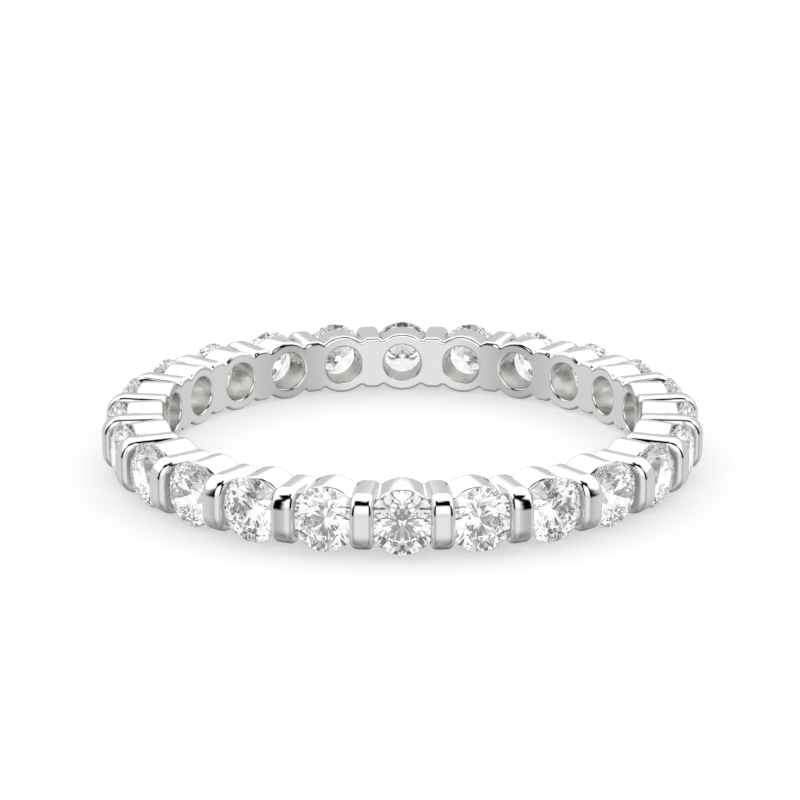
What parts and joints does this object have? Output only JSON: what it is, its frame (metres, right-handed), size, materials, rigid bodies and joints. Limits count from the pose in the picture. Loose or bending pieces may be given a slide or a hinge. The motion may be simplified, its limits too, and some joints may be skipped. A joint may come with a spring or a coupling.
{
  "type": "bar set band ring",
  "caption": "Slim finger ring: a full circle of round brilliant stones, each over an open collet and held between two upright polished bars.",
  "frame": {"origin": "on the surface that the ring lies on, under the centre of the finger's opening", "axes": "+Z is the ring's own axis, up from the surface; stone_01 faces -Y and the stones run counterclockwise seen from above"},
  "size_m": [0.0206, 0.0206, 0.0022],
  "materials": {
    "white_gold": "high polish",
    "diamond": "clear, cut and polished"
  },
  "bodies": {
    "root": {"band": "white_gold", "stone_01": "diamond", "stone_02": "diamond", "stone_03": "diamond", "stone_04": "diamond", "stone_05": "diamond", "stone_06": "diamond", "stone_07": "diamond", "stone_08": "diamond", "stone_09": "diamond", "stone_10": "diamond", "stone_11": "diamond", "stone_12": "diamond", "stone_13": "diamond", "stone_14": "diamond", "stone_15": "diamond", "stone_16": "diamond", "stone_17": "diamond", "stone_18": "diamond", "stone_19": "diamond", "stone_20": "diamond", "stone_21": "diamond", "stone_22": "diamond", "stone_23": "diamond", "stone_24": "diamond"}
  },
  "joints": []
}
